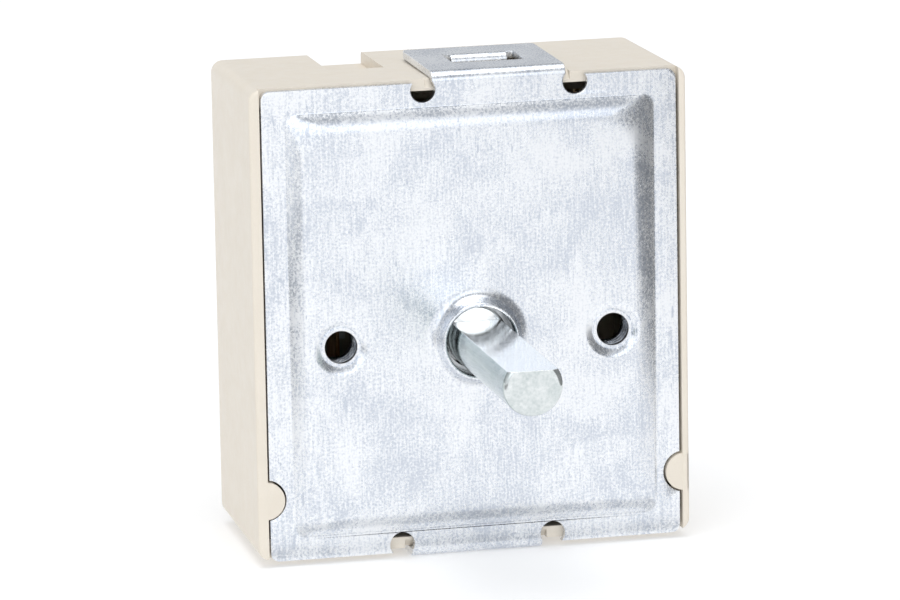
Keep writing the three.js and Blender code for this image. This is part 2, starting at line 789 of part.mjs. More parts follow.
add("snap_moving_contact", snapMovingContact(), materials.silver);
add("snap_fixed_contact", snapFixedContact(), materials.silver);
const snapStack = [SNAP_Z - 0.1, SNAP_Z + 1.2 + GAP];
add("snap_rivet", rivetZ(snapRoot, armMid, ...snapStack), materials.steel);
addSwitch("neutral", 1, neutralIn, neutralOut, 11, neutralCam);
addSwitch("pilot", -1, lineIn, pilotOut, -11, pilotCam);
const leadY = 9.6;
const loadLead = [[-0.7, leadY, 14.8], [4, leadY, 14.9], [10, leadY, 15.8], [14.5, leadY, 18]];
add("heater_lead_load", lead(loadLead), materials.heaterWire);
const neutralLead = [[-11.3, leadY, 14.8], [-9, leadY, 13], [0, leadY, 12.5], [8.6, leadY, 12.6]];
add("heater_lead_neutral", lead(neutralLead), materials.heaterWire);

export default regulator;
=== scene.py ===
"""The looks of a cooker's rotary energy regulator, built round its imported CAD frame. Blender 4.5.

The finest visible pieces are made here: the pressed front plate, the moulded case, the D-shaft
and the heater's wire. Every other part keeps its CAD shape and gets a material and small bevels.
Lengths are in metres; MM turns a drawing's millimetres into them.
"""

import json
import math

import bmesh
import bpy
from mathutils import Matrix, Vector
from mathutils.geometry import delaunay_2d_cdt


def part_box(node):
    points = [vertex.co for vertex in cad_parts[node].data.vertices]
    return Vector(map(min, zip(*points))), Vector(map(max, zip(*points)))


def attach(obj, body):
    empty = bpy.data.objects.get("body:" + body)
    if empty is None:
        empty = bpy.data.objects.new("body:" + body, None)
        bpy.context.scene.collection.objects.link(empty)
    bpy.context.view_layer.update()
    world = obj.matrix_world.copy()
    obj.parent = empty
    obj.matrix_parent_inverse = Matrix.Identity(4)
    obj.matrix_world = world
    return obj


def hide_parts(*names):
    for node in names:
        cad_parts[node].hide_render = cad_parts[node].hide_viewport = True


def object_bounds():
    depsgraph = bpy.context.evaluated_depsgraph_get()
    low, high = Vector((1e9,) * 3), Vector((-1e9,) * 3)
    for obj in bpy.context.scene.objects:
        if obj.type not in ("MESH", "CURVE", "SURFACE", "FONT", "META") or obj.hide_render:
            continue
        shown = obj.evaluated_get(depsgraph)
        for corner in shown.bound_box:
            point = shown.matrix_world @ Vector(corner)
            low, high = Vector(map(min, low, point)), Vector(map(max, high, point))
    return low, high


MM = 0.001

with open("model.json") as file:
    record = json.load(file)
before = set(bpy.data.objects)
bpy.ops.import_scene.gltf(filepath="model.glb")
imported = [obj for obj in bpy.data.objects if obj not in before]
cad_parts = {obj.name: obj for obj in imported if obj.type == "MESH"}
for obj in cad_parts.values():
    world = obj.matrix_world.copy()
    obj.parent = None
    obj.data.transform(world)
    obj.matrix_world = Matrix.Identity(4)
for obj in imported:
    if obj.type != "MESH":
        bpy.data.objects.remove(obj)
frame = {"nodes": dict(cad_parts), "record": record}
cad_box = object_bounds()

# ---------------------------------------------------------------- camera, floor and light

AZIMUTH = math.radians(-13.16)
ELEVATION = math.radians(11.98)
ROLL = math.radians(-1.01)
DISTANCE = 0.6442
LENS = 257.97
AIM = Vector((-2.83, 0, 4.15)) * MM
UP = Vector((0, 0, 1))


def make_camera():
    data = bpy.data.cameras.new("camera")
    data.lens = LENS
    data.sensor_width = 36
    data.clip_start = 0.01
    data.clip_end = 20
    camera = bpy.data.objects.new("camera", data)
    bpy.context.scene.collection.objects.link(camera)
    across = math.cos(ELEVATION)
    back = Vector((math.sin(AZIMUTH) * across, -math.cos(AZIMUTH) * across, math.sin(ELEVATION)))
    right = (-back).cross(UP).normalized()
    up = back.cross(right)
    x_axis = math.cos(ROLL) * right + math.sin(ROLL) * up
    y_axis = math.cos(ROLL) * up - math.sin(ROLL) * right
    turn = Matrix((x_axis, y_axis, back)).transposed().to_4x4()
    camera.matrix_world = Matrix.Translation(AIM + back * DISTANCE) @ turn
    bpy.context.scene.camera = camera


def make_floor():
    half = 2.5
    low = cad_box[0].z
    floor = add_mesh(
        "floor",
        [(-half, -half, low), (half, -half, low), (half, half, low), (-half, half, low)],
        [(0, 1, 2, 3)],
    )
    material, tree, shader = new_material("floor_paper")
    tone = noise(tree, 40, detail=3)
    tint(tree, shader, tone, (0.72, 0.72, 0.725), (0.74, 0.74, 0.74))
    shader.inputs["Roughness"].default_value = 0.9
    shader.inputs["Specular IOR Level"].default_value = 0.1
    shader.inputs["Emission Color"].default_value = (1, 1, 1, 1)
    shader.inputs["Emission Strength"].default_value = 0.33
    paint(floor, material)


def make_card(name, corners, tone):
    """A card seen only in the metal's reflections, as a photographer would set one."""
    card = add_mesh(name, [Vector(corner) * MM for corner in corners], [(0, 1, 2, 3)])
    material, tree, shader = new_material(name)
    tint(tree, shader, noise(tree, 60), [0.94 * tone] * 3, [tone] * 3)
    shader.inputs["Roughness"].default_value = 0.9
    paint(card, material)
    card.visible_camera = False
    card.visible_diffuse = False
    card.visible_shadow = False


def make_cards():
    low = cad_box[0].z / MM + 0.5
    make_card("card_right", [(90, -220, low), (90, 100, low), (90, 100, 120), (90, -220, 120)], 0.3)
    make_card("card_front", [(-24, -4.5, low), (24, -4.5, low), (24, -0.5, low), (-24, -0.5, low)], 0.8)
    make_card("card_left", [(-80, -150, low), (-80, -10, low), (-80, -10, -4), (-80, -150, -4)], 0.55)


def make_light():
    sun = bpy.data.lights.new("key", "SUN")
    sun.energy = 0.9
    sun.angle = math.radians(40)
    sun.color = (1, 0.985, 0.96)
    key = bpy.data.objects.new("key", sun)
    key.rotation_euler = Vector((-0.1, -0.22, 1)).to_track_quat("Z", "Y").to_euler()
    bpy.context.scene.collection.objects.link(key)


def make_world():
    """White to the camera; elsewhere a soft room with a window in front, a ceiling light and dim sides."""
    world = bpy.data.worlds.new("studio")
    world.use_nodes = True
    bpy.context.scene.world = world
    tree = world.node_tree
    room = tree.nodes["Background"]
    where = tree.nodes.new("ShaderNodeTexCoord")
    parts = tree.nodes.new("ShaderNodeSeparateXYZ")
    tree.links.new(where.outputs["Generated"], parts.inputs[0])
    across, along, height = (parts.outputs[name] for name in "XYZ")
    right = remap(tree, across, 0.1, 0.85, 1.0, 0.5)
    left = remap(tree, across, -0.95, -0.3, 0.84, 1.0)
    behind = remap(tree, along, -0.6, 0.4, 0.98, 0.68)
    shoulder = remap(tree, height, 0.5, 0.68, 1.0, 0.6)
    level = math_node(tree, "MULTIPLY", left, right)
    level = math_node(tree, "MULTIPLY", level, behind)
    level = math_node(tree, "MULTIPLY", level, shoulder)
    window_foot = remap(tree, height, 0.04, 0.25, 0.0, 0.62)
    window_head = remap(tree, height, 0.42, 0.6, 1.0, 0.0)
    window_front = remap(tree, along, -0.75, -0.3, 1.0, 0.0)
    window = math_node(tree, "MULTIPLY", window_foot, window_head)
    window = math_node(tree, "MULTIPLY", window, window_front)
    level = math_node(tree, "ADD", level, window)
    ceiling = remap(tree, height, 0.78, 0.95, 0.0, 1.45)
    strength = math_node(tree, "MAXIMUM", ceiling, level)
    tree.links.new(strength, room.inputs["Strength"])
    room.inputs["Color"].default_value = (0.94, 0.965, 1, 1)
    backdrop = tree.nodes.new("ShaderNodeBackground")
    backdrop.inputs["Color"].default_value = (1, 1, 1, 1)
    backdrop.inputs["Strength"].default_value = 1
    ray = tree.nodes.new("ShaderNodeLightPath")
    choose = tree.nodes.new("ShaderNodeMixShader")
    tree.links.new(ray.outputs["Is Camera Ray"], choose.inputs[0])
    tree.links.new(room.outputs[0], choose.inputs[1])
    tree.links.new(backdrop.outputs[0], choose.inputs[2])
    tree.links.new(choose.outputs[0], tree.nodes["World Output"].inputs["Surface"])


# ---------------------------------------------------------------- node helpers


def new_material(name):
    material = bpy.data.materials.new(name)
    material.use_nodes = True
    return material, material.node_tree, material.node_tree.nodes["Principled BSDF"]


def noise(tree, per_metre, stretch=(1, 1, 1), detail=4.0, distortion=0.0):
    """A noise value over the object's own coordinates, with about per_metre blotches to a metre."""
    where = tree.nodes.new("ShaderNodeTexCoord")
    mapping = tree.nodes.new("ShaderNodeMapping")
    mapping.inputs["Scale"].default_value = [per_metre * s for s in stretch]
    texture = tree.nodes.new("ShaderNodeTexNoise")
    texture.inputs["Scale"].default_value = 1
    texture.inputs["Detail"].default_value = detail
    texture.inputs["Distortion"].default_value = distortion
    tree.links.new(where.outputs["Object"], mapping.inputs["Vector"])
    tree.links.new(mapping.outputs["Vector"], texture.inputs["Vector"])
    return texture.outputs["Fac"]


def math_node(tree, operation, a, b):
    node = tree.nodes.new("ShaderNodeMath")
    node.operation = operation
    for socket, value in zip(node.inputs, (a, b)):
        if isinstance(value, (int, float)):
            socket.default_value = value
        else:
            tree.links.new(value, socket)
    return node.outputs[0]


def remap(tree, value, low, high, out_low, out_high):
    node = tree.nodes.new("ShaderNodeMapRange")
    node.interpolation_type = "SMOOTHSTEP"
    for name, number in (("From Min", low), ("From Max", high), ("To Min", out_low), ("To Max", out_high)):
        node.inputs[name].default_value = number
    tree.links.new(value, node.inputs["Value"])
    return node.outputs["Result"]


def tint(tree, shader, value, colour_a, colour_b, low=0.3, high=0.7):
    mix = tree.nodes.new("ShaderNodeMix")
    mix.data_type = "RGBA"
    mix.inputs["A"].default_value = (*colour_a, 1)
    mix.inputs["B"].default_value = (*colour_b, 1)
    tree.links.new(remap(tree, value, low, high, 0, 1), mix.inputs["Factor"])
    tree.links.new(mix.outputs["Result"], shader.inputs["Base Color"])


def bump(tree, shader, value, height, strength=1.0):
    node = tree.nodes.new("ShaderNodeBump")
    node.inputs["Distance"].default_value = height
    node.inputs["Strength"].default_value = strength
    tree.links.new(value, node.inputs["Height"])
    tree.links.new(node.outputs["Normal"], shader.inputs["Normal"])


def total(tree, *weighted):
    """The sum of (value, weight) pairs."""
    parts = [math_node(tree, "MULTIPLY", value, weight) for value, weight in weighted]
    result = parts[0]
    for part in parts[1:]:
        result = math_node(tree, "ADD", result, part)
    return result


def own_place(tree):
    """The x and z of a point in the object's own metres."""
    where = tree.nodes.new("ShaderNodeTexCoord")
    parts = tree.nodes.new("ShaderNodeSeparateXYZ")
    tree.links.new(where.outputs["Object"], parts.inputs[0])
    return parts.outputs["X"], parts.outputs["Z"]


def distance_from(tree, x, z):
    """How far a point lies from the Y axis, given its x and z."""
    squares = [math_node(tree, "MULTIPLY", value, value) for value in (x, z)]
    return math_node(tree, "SQRT", math_node(tree, "ADD", *squares), 0)


def lay_painted_shade(tree, shader, mask, colour):
    """Lays a painted shade colour over the base colour where the mask is 1."""
    base = shader.inputs["Base Color"].links[0].from_socket
    mix = tree.nodes.new("ShaderNodeMix")
    mix.data_type = "RGBA"
    tree.links.new(mask, mix.inputs["Factor"])
    tree.links.new(base, mix.inputs["A"])
    mix.inputs["B"].default_value = (*colour, 1)
    tree.links.new(mix.outputs["Result"], shader.inputs["Base Color"])


# ---------------------------------------------------------------- materials


def moulded(name, colour, darker, roughness, grain_height=4e-6):
    """A moulded thermoset: faint flow clouds, a fine filler speckle and a satin skin."""
    material, tree, shader = new_material(name)
    clouds = noise(tree, 220, detail=3, distortion=0.6)
    speckle = noise(tree, 6500, detail=2)
    tint(tree, shader, total(tree, (clouds, 0.55), (speckle, 0.45)), darker, colour, 0.4, 0.6)
    tree.links.new(
        remap(tree, noise(tree, 900, detail=3), 0.35, 0.65, roughness - 0.05, roughness + 0.06),
        shader.inputs["Roughness"],
    )
    shader.inputs["Specular IOR Level"].default_value = 0.45
    orange_peel = noise(tree, 700, detail=2)
    bump(tree, shader, total(tree, (orange_peel, 0.8), (speckle, 0.2)), grain_height)
    return material


def zinc_plate():
    """Bright zinc on rolled steel: a fine spangle, drawn streaks up the sheet and soft clouds; the tapped
    bores are painted near-black as painted shade.
    """
    material, tree, shader = new_material("zinc_plate")
    shader.inputs["Metallic"].default_value = 1
    spangle = noise(tree, 4200, detail=5, distortion=0.4)
    streaks = noise(tree, 5200, stretch=(1, 1, 0.07), detail=4)
    clouds = noise(tree, 150, detail=3, distortion=0.8)
    scratches = remap(tree, noise(tree, 1500, stretch=(1, 1, 0.3), detail=6), 0.66, 0.74, 0, 0.35)
    look = total(tree, (spangle, 0.46), (streaks, 0.24), (clouds, 0.3), (scratches, -1))
    tint(tree, shader, look, (0.61, 0.65, 0.72), (0.93, 0.945, 0.965), 0.39, 0.58)
    rough = total(tree, (spangle, 0.5), (clouds, 0.5))
    tree.links.new(remap(tree, rough, 0.35, 0.65, 0.2, 0.34), shader.inputs["Roughness"])
    bump(tree, shader, total(tree, (streaks, 0.5), (spangle, 0.5)), 7e-6)
    # painted shade: the tapped bores' walls are painted near-black, standing in for the shade inside the
    # holes
    x, z = own_place(tree)
    from_hole = math_node(tree, "SUBTRACT", math_node(tree, "ABSOLUTE", x, 0), HOLE_X * MM)
    bore = remap(tree, distance_from(tree, from_hole, z), 1.62 * MM, 1.72 * MM, 1, 0)
    lay_painted_shade(tree, shader, bore, (0.09, 0.075, 0.06))
    return material


def zinc_shaft_painted_light():
    """A zinc-plated shaft: its upward flat painted bright as a painted highlight, its round painted duller as
    painted shade and greener, its end between the two.
    """
    material, tree, shader = new_material("polished_zinc")
    shader.inputs["Metallic"].default_value = 1
    marks = noise(tree, 3000, stretch=(1, 0.12, 1), detail=5)
    stains = noise(tree, 420, detail=5, distortion=0.7)
    x, z = own_place(tree)
    # painted light: the flat top is painted lighter as a painted highlight and the round darker as painted
    # shade
    flat = remap(tree, z, 1.54 * MM, 1.6 * MM, 0, 1)
    round_side = remap(tree, distance_from(tree, x, z), 2.88 * MM, 2.97 * MM, 0, 1)
    look = total(tree, (marks, 0.22), (stains, 0.3), (flat, 0.2), (round_side, -0.13))
    tint(tree, shader, look, (0.43, 0.5, 0.495), (0.95, 0.965, 0.96), 0.05, 0.45)
    tree.links.new(remap(tree, stains, 0.35, 0.65, 0.09, 0.17), shader.inputs["Roughness"])
    bump(tree, shader, marks, 1.5e-6)
    return material


def metal(name, bright, dull, roughness, per_metre=2500, stretch=(1, 1, 1), grain=2e-6):
    """Bare metal with rolling or turning marks drawn out along the stretched axis."""
    material, tree, shader = new_material(name)
    shader.inputs["Metallic"].default_value = 1
    marks = noise(tree, per_metre, stretch=stretch, detail=5)
    stains = noise(tree, 260, detail=4, distortion=0.5)
    tint(tree, shader, total(tree, (marks, 0.5), (stains, 0.5)), dull, bright, 0.38, 0.6)
    tree.links.new(
        remap(tree, total(tree, (marks, 0.4), (stains, 0.6)), 0.35, 0.65, roughness + 0.06, roughness - 0.04),
        shader.inputs["Roughness"],
    )
    bump(tree, shader, marks, grain)
    return material


def mineral(name, colour, darker, roughness, per_metre, grain):
    """Ceramic or mica: an unpolished mineral face with flecks."""
    material, tree, shader = new_material(name)
    flecks = noise(tree, per_metre, detail=5, distortion=1.0)
    tint(tree, shader, flecks, darker, colour, 0.38, 0.58)
    tree.links.new(
        remap(tree, noise(tree, 1500), 0.35, 0.65, roughness - 0.06, roughness + 0.08),
        shader.inputs["Roughness"],
    )
    bump(tree, shader, flecks, grain)
    return material


def make_materials():
    rolled = (1, 1, 0.06)
    return {
        "case": moulded("cream_thermoset", (0.825, 0.755, 0.65), (0.805, 0.733, 0.625), 0.42),
        "plate": zinc_plate(),
        "shaft": zinc_shaft_painted_light(),
        "drum": moulded("brown_thermoset", (0.06, 0.042, 0.034), (0.035, 0.025, 0.02), 0.5),
        "steel": metal("zinc_steel", (0.6, 0.61, 0.62), (0.4, 0.41, 0.42), 0.3, 2500, rolled),
        "terminal": metal("brass_strip", (0.83, 0.66, 0.33), (0.76, 0.585, 0.28), 0.27, 2500, (1, 0.06, 1)),
        "spring": metal("bronze_strip", (0.74, 0.44, 0.25), (0.56, 0.3, 0.16), 0.3, 2500, (0.06, 1, 0.06)),
        "contact": metal("silver_rivet", (0.92, 0.91, 0.88), (0.74, 0.72, 0.68), 0.22, 3000),
        "bimetal": metal(
            "bimetal_strip_steel", (0.5, 0.48, 0.44), (0.32, 0.3, 0.27), 0.36, 2500, (0.06, 1, 1),
        ),
        "mica": mineral("mica_sheet", (0.5, 0.37, 0.22), (0.28, 0.2, 0.12), 0.35, 1800, 3e-6),
        "heater": metal("oxidised_wire", (0.3, 0.27, 0.25), (0.12, 0.1, 0.1), 0.45, 4000),
        "ceramic": mineral("white_ceramic", (0.87, 0.85, 0.8), (0.78, 0.75, 0.69), 0.5, 2600, 4e-6),
    }


# ---------------------------------------------------------------- mesh helpers


def add_mesh(name, points, faces):
    mesh = bpy.data.meshes.new(name)
    mesh.from_pydata([tuple(p) for p in points], [], faces)
    mesh.update()
    obj = bpy.data.objects.new(name, mesh)
    bpy.context.scene.collection.objects.link(obj)
    return obj


def outward(obj):
    """Welds doubles and turns every face outwards."""
    work = bmesh.new()
    work.from_mesh(obj.data)
    bmesh.ops.remove_doubles(work, verts=work.verts, dist=1e-7)
    bmesh.ops.recalc_face_normals(work, faces=work.faces)
    work.to_mesh(obj.data)
    work.free()
    return obj


def paint(obj, material):
    obj.data.materials.clear()
    obj.data.materials.append(material)


def smooth(obj, degrees=32):
    obj.data.shade_smooth()
    obj.data.set_sharp_from_angle(angle=math.radians(degrees))
    return obj


def soften_edges(obj, width, segments=2, degrees=35):
    """Breaks every sharp edge with a small round and keeps the flats flat."""
    bevel = obj.modifiers.new("edges", "BEVEL")
    bevel.width = width
    bevel.segments = segments
    bevel.limit_method = "ANGLE"
    bevel.angle_limit = math.radians(degrees)
    bevel.miter_outer = "MITER_ARC"
    normals = obj.modifiers.new("normals", "WEIGHTED_NORMAL")
    normals.keep_sharp = False


def apply_modifiers(obj):
    graph = bpy.context.evaluated_depsgraph_get()
    finished = bpy.data.meshes.new_from_object(obj.evaluated_get(graph))
    obj.modifiers.clear()
    obj.data = finished


def combine(obj, operation, *others):
    """Joins others to obj, or cuts them from it, and removes them."""
    for other in others:
        step = obj.modifiers.new(operation, "BOOLEAN")
        step.operation = operation
        step.solver = "EXACT"
        step.object = other
        apply_modifiers(obj)
        bpy.data.objects.remove(other)
    return obj


def box_piece(x0, x1, y0, y1, z0, z1):
    corners = [(x, y, z) for x in (x0, x1) for y in (y0, y1) for z in (z0, z1)]
    faces = [(0, 1, 3, 2), (4, 6, 7, 5), (0, 4, 5, 1), (2, 3, 7, 6), (0, 2, 6, 4), (1, 5, 7, 3)]
    return outward(add_mesh("cutter", [Vector(c) * MM for c in corners], faces))


def turned_piece(name, profile, x=0.0, z=0.0, sides=96):
    """A profile of (radius, y) in millimetres, from radius 0 to radius 0, turned about a line along Y."""
    points = []
    faces = []
    for r, y in profile:
        for i in range(sides):
            angle = 2 * math.pi * i / sides
            points.append(Vector((x + r * math.cos(angle), y, z + r * math.sin(angle))) * MM)
    for k in range(len(profile) - 1):
        for i in range(sides):
            j = (i + 1) % sides
            near, far = k * sides, (k + 1) * sides
            faces.append((near + i, near + j, far + j, far + i))
    return outward(add_mesh(name, points, faces))


def rod_piece(x, z, r, y0, y1, sides=64):
    return turned_piece("cutter", [(0, y0), (r, y0), (r, y1), (0, y1)], x, z, sides)


def prism_piece(outline, x0, x1):
    """An outline of (y, z) in millimetres, given length along x."""
    count = len(outline)
    points = [Vector((x, y, z)) * MM for x in (x0, x1) for y, z in outline]
    faces = [tuple(range(count)), tuple(range(2 * count - 1, count - 1, -1))]
    faces += [(i, (i + 1) % count, count + (i + 1) % count, count + i) for i in range(count)]
    return outward(add_mesh("cutter", points, faces))


def rounded_ring(cx, cz, w, h, r, steps):
    """A rounded rectangle's outline as (x, z) points, anticlockwise from the right-hand side."""
    points = []
    for corner in range(4):
        sx = 1 if corner in (0, 3) else -1
        sz = 1 if corner < 2 else -1
        for i in range(steps + 1):
            angle = (corner + i / steps) * math.pi / 2
            x = cx + sx * (w / 2 - r) + r * math.cos(angle)
            z = cz + sz * (h / 2 - r) + r * math.sin(angle)
            points.append((x, z))
    return points


def arc(cx, cz, r, start, end, steps):
    """Points on a circle from start to end, in degrees, both ends included."""
    angles = [math.radians(start + (end - start) * i / steps) for i in range(steps + 1)]
    return [(cx + r * math.cos(a), cz + r * math.sin(a)) for a in angles]


# ---------------------------------------------------------------- the front plate

SHEET = 0.8
EMBOSS = 0.9
GAP = 0.05

PLATE = {"cx": -0.23, "cz": 2.2, "w": 42.5, "h": 47.8}
PLATE_LEFT = PLATE["cx"] - PLATE["w"] / 2
PLATE_RIGHT = PLATE["cx"] + PLATE["w"] / 2
PLATE_BOTTOM = PLATE["cz"] - PLATE["h"] / 2
PLATE_TOP = PLATE["cz"] + PLATE["h"] / 2

CREASE_MARGIN = 2.42
ROLL_RUN = 2.4
CREASE_CORNER = 1.3
CREASE_SOFTNESS = 0.09
EDGE_ROUND = 0.09

BEND = 1.1
BEND_LENGTH = BEND * math.pi / 2
TOP_TAB = {"side": 1, "cx": 2.8, "w": 13.7, "back": 14.3, "face": 27.2}
BOTTOM_TAB = {"side": -1, "cx": -0.15, "w": 13.5, "back": 14.3, "face": 22.3}
WINDOW = {"cx": 2.9, "w": 7.4, "front": 5.3, "back": 10.5}
TONGUE = {"w": 5.8, "foot": 24.15}
NOTCH_R = 1.25
NOTCH_OFFSET = 7.8
TOP_NOTCH_Z = PLATE_TOP - 0.7
BOTTOM_NOTCH_Z = PLATE_BOTTOM + 0.85
LUG_NOTCH_R = 2.1
LUG_Z = -15.35
LUG_INSET = 0.4

COLLAR_EDGE = 5.4
COLLAR = [
    (5.1, -0.02), (4.8, -0.09), (4.54, -0.22), (4.34, -0.42), (4.18, -0.7), (4.07, -1.02),
    (4.02, -1.32), (3.98, -1.48), (3.92, -1.58), (3.84, -1.63), (3.76, -1.64), (3.68, -1.62),
    (3.6, -1.55), (3.56, -1.44), (3.55, -0.4), (3.55, 0.68), (3.58, 0.77), (3.67, SHEET),
]
COLLAR_SIDES = 96
HOLE_SIDES = 56
HOLE_X = 14
HOLE_R = 1.65
THREAD_ROOT_R = 1.9
THREAD_PITCH = 0.7
PLUNGE_R = 2.05
DIMPLE_R = 2.95
PLUNGE_BACK = 3.4
PLUNGE_END = [
    (HOLE_R + 0.1, PLUNGE_BACK), (PLUNGE_R - 0.1, PLUNGE_BACK),
    (PLUNGE_R, PLUNGE_BACK - 0.1), (PLUNGE_R, 1.8),
]
ROLL_RINGS = (-0.3, -0.12, -0.06, 0, 0.06, 0.12, 0.2, 0.4, 0.65, 0.95, 1.25, 1.55, 1.85, 2.1, 2.3, 2.5)
HOLE_RINGS = (HOLE_R, 1.72, 1.98, PLUNGE_R, 2.12, 2.3, 2.5, 2.7, 2.85, DIMPLE_R)


def fold_start(tab):
    return tab["face"] - BEND


def tab_length(tab):
    """From the start of the bend to the tab's end, along the sheet's outer face."""
    return BEND_LENGTH + tab["back"] - EMBOSS - BEND


def roll_height(inside):
    """How far back the outer face lies, at a distance inside the crease; the crease itself is softened."""
    samples = 9
    heights = []
    for i in range(samples):
        d = inside + CREASE_SOFTNESS * (2 * i / (samples - 1) - 1)
        run = min(max(d / ROLL_RUN, 0), 1)
        heights.append(EMBOSS * (1 - run) ** 2)
    return sum(heights) / samples


def dimple_depth(x, z):
    """How far the soft dimples round the two tapped holes go in."""
    deep, coined = 0.4, 0.09
    r = math.hypot(abs(x) - HOLE_X, z)
    run = min(max((DIMPLE_R - r) / (DIMPLE_R - PLUNGE_R), 0), 1)
    rim = min(max((PLUNGE_R - r) / 0.07, 0), 1)
    return deep * run**1.6 - coined * rim


def outside_ring(x, z, d):
    """Signed distance from (x, z) to the rounded rectangle that lies d inside the crease."""
    radius = CREASE_CORNER + max(2 * d / ROLL_RUN, d)
    across = abs(x - PLATE["cx"]) - (PLATE["w"] / 2 - CREASE_MARGIN - d - radius)
    along = abs(z - PLATE["cz"]) - (PLATE["h"] / 2 - CREASE_MARGIN - d - radius)
    return math.hypot(max(across, 0), max(along, 0)) + min(max(across, along), 0) - radius


def pressed_height(x, z):
    """How far back the outer face lies at a point of the pressing.

    The point's distance inside the crease is found by repeated halving.
    """
    low, high = -0.3, 2.6
    if outside_ring(x, z, low) > 0:
        return EMBOSS
    if outside_ring(x, z, high) < 0:
        return dimple_depth(x, z)
    for _ in range(30):
        middle = (low + high) / 2
        if outside_ring(x, z, middle) < 0:
            low = middle
        else:
            high = middle
    return roll_height(low) + dimple_depth(x, z)


def place(x, z, height, depth):
    """A point of the flat pattern folded to its place: depth is measured into the sheet."""
    for tab in (TOP_TAB, BOTTOM_TAB):
        beyond = tab["side"] * z - fold_start(tab)
        if beyond > 0 and abs(x - tab["cx"]) < tab["w"] / 2 + 0.01:
            radius = BEND - depth
            middle = EMBOSS + BEND
            if beyond < BEND_LENGTH:
                turn = beyond / BEND
                y = middle - radius * math.cos(turn)
                up = fold_start(tab) + radius * math.sin(turn)
            else:
                y = middle + beyond - BEND_LENGTH
                up = fold_start(tab) + radius
            return Vector((x, y, tab["side"] * up)) * MM
    return Vector((x, height + depth, z)) * MM


def notch(cx, cz, r, start, end):
    return arc(cx, cz, r, start, end, max(4, round(abs(end - start) / 9)))


def notch_end(tab):
    """How far up the tab its relief notches reach."""
    middle = TOP_NOTCH_Z if tab is TOP_TAB else -BOTTOM_NOTCH_Z
    reach = NOTCH_OFFSET - tab["w"] / 2
    return middle + math.sqrt(NOTCH_R**2 - reach**2)


def tab_outline(tab):
    """The tab's two sides and end in the flat pattern, from its left side round to its right."""
    half = tab["w"] / 2
    side = tab["side"]
    start = fold_start(tab)
    end = start + tab_length(tab)
    levels = [start + BEND_LENGTH * i / 8 for i in range(9)]
    levels += [start + BEND_LENGTH + 3.3, start + BEND_LENGTH + 8.5]
    levels = [level for level in levels if level > notch_end(tab) + 0.03]
    corner = 0.5
    left = [(tab["cx"] - half, side * level) for level in levels]
    right = [(tab["cx"] + half, side * level) for level in reversed(levels)]
    tip_left = [(tab["cx"] - half, side * (end - corner)), (tab["cx"] - half + 0.15, side * (end - 0.15))]
    tip_left.append((tab["cx"] - half + corner, side * end))
    tip_right = [(2 * tab["cx"] - x, z) for x, z in reversed(tip_left)]
    return left + tip_left + tip_right + right


def angle_of(dx, dz):
    return math.degrees(math.atan2(dz, dx))


def plate_outline():
    """The flat pattern's edge, anticlockwise from the bottom left corner."""
    corner = 0.9
    top_open = math.sqrt(NOTCH_R**2 - (PLATE_TOP - TOP_NOTCH_Z) ** 2)
    bottom_open = math.sqrt(NOTCH_R**2 - (BOTTOM_NOTCH_Z - PLATE_BOTTOM) ** 2)
    lug_open = math.sqrt(LUG_NOTCH_R**2 - LUG_INSET**2)
    rise = PLATE_TOP - TOP_NOTCH_Z
    drop = PLATE_BOTTOM - BOTTOM_NOTCH_Z
    points = arc(PLATE_LEFT + corner, PLATE_BOTTOM + corner, corner, 180, 270, 6)

    reach = NOTCH_OFFSET - BOTTOM_TAB["w"] / 2
    fall = -math.sqrt(NOTCH_R**2 - reach**2)
    left, right = BOTTOM_TAB["cx"] - NOTCH_OFFSET, BOTTOM_TAB["cx"] + NOTCH_OFFSET
    points += notch(left, BOTTOM_NOTCH_Z, NOTCH_R, angle_of(-bottom_open, drop) + 360, angle_of(reach, fall))
    points += tab_outline(BOTTOM_TAB)
    points += notch(right, BOTTOM_NOTCH_Z, NOTCH_R, angle_of(-reach, fall) + 360, angle_of(bottom_open, drop))
    points += arc(PLATE_RIGHT - corner, PLATE_BOTTOM + corner, corner, 270, 360, 6)

    lug_right = PLATE_RIGHT + LUG_INSET
    start = angle_of(-LUG_INSET, -lug_open) + 360
    points += notch(lug_right, LUG_Z, LUG_NOTCH_R, start, angle_of(-LUG_INSET, lug_open))
    points += arc(PLATE_RIGHT - corner, PLATE_TOP - corner, corner, 0, 90, 6)

    reach = NOTCH_OFFSET - TOP_TAB["w"] / 2
    climb = math.sqrt(NOTCH_R**2 - reach**2)
    left, right = TOP_TAB["cx"] - NOTCH_OFFSET, TOP_TAB["cx"] + NOTCH_OFFSET
    points += notch(right, TOP_NOTCH_Z, NOTCH_R, angle_of(top_open, rise), angle_of(-reach, climb) - 360)
    points += list(reversed(tab_outline(TOP_TAB)))
    points += notch(left, TOP_NOTCH_Z, NOTCH_R, angle_of(reach, climb), angle_of(-top_open, rise) - 360)
    points += arc(PLATE_LEFT + corner, PLATE_TOP - corner, corner, 90, 180, 6)

    lug_left = PLATE_LEFT - LUG_INSET
    start, end = angle_of(LUG_INSET, lug_open), angle_of(LUG_INSET, -lug_open)
    points += notch(lug_left, LUG_Z, LUG_NOTCH_R, start, end)
    return points


def window_outline():
    """The tab's window in the flat pattern, clockwise."""
    start = fold_start(TOP_TAB) + BEND_LENGTH - EMBOSS - BEND
    low, high = start + WINDOW["front"], start + WINDOW["back"]
    ring = rounded_ring(WINDOW["cx"], (low + high) / 2, WINDOW["w"], high - low, 0.2, 3)
    return list(reversed(ring))


def circle(cx, r, sides):
    angles = [2 * math.pi * i / sides for i in range(sides)]
    return [(cx + r * math.cos(a), r * math.sin(a)) for a in angles]


